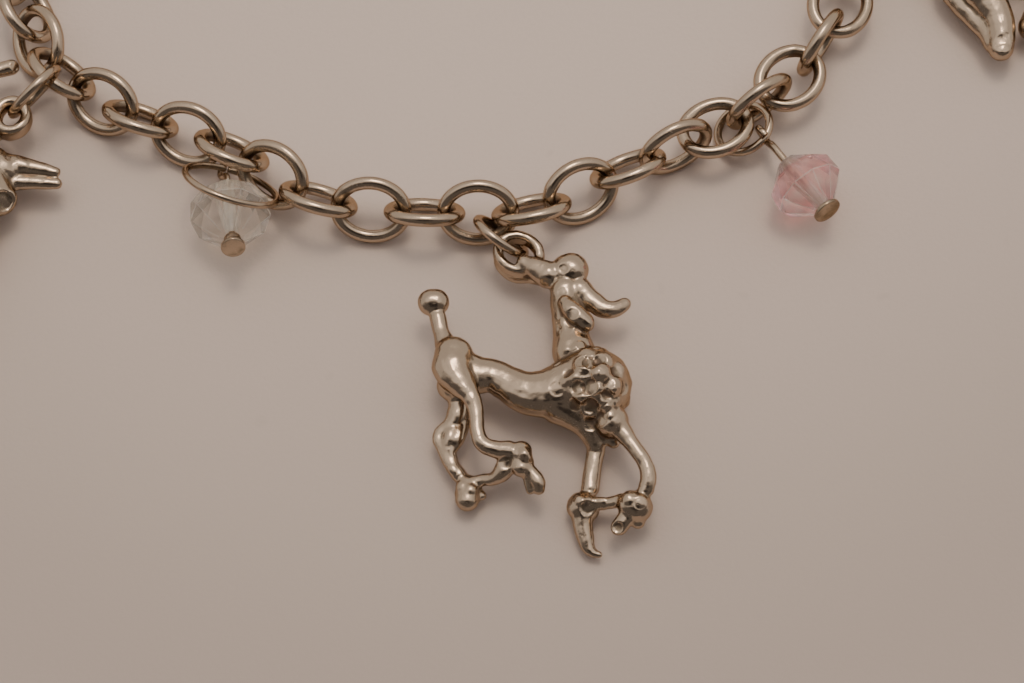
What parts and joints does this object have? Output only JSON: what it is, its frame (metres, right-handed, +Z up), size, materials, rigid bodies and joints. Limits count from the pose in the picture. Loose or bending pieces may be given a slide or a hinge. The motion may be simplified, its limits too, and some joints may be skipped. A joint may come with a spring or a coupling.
{
  "type": "charm bracelet",
  "caption": "Silver oval cable chain bracelet lying in a closed loop, with cast animal charms and faceted bead drops on jump rings.",
  "frame": {"origin": "middle of the bracelet's box in plan, on the surface that it lies on", "axes": "+Z up from the surface; X across the loop, from the cut-off charm on the left to the one on the right; the poodle hangs towards -Y"},
  "size_m": [0.1092, 0.0754, 0.0071],
  "materials": {
    "silver": "polished and slightly worn silver with a warm tone and dark tarnish in the hollows",
    "clear_crystal": "clear faceted crystal, slightly yellow",
    "pink_crystal": "pale pink faceted crystal, pinker at the rim"
  },
  "bodies": {
    "root": {"link_01": "silver", "link_02": "silver", "link_03": "silver", "link_04": "silver", "link_05": "silver", "link_06": "silver", "link_07": "silver", "link_08": "silver", "link_09": "silver", "link_10": "silver", "link_11": "silver", "link_12": "silver", "link_13": "silver", "link_14": "silver", "link_15": "silver", "link_16": "silver", "link_17": "silver", "link_18": "silver", "link_19": "silver", "link_20": "silver", "link_21": "silver", "link_22": "silver", "link_23": "silver", "link_24": "silver", "link_25": "silver", "link_26": "silver", "link_27": "silver", "link_28": "silver", "link_29": "silver", "link_30": "silver", "link_31": "silver", "link_32": "silver", "link_33": "silver", "link_34": "silver", "link_35": "silver", "link_36": "silver", "link_37": "silver", "link_38": "silver", "link_39": "silver", "link_40": "silver", "link_41": "silver", "clasp": "silver", "poodle_charm": "silver", "poodle_ring": "silver", "left_animal_charm": "silver", "left_animal_ring": "silver", "right_animal_charm": "silver", "right_animal_ring": "silver", "clear_headpin": "silver", "clear_ring": "silver", "pink_headpin": "silver", "pink_ring": "silver", "clear_bead": "clear_crystal", "pink_bead": "pink_crystal"}
  },
  "joints": []
}
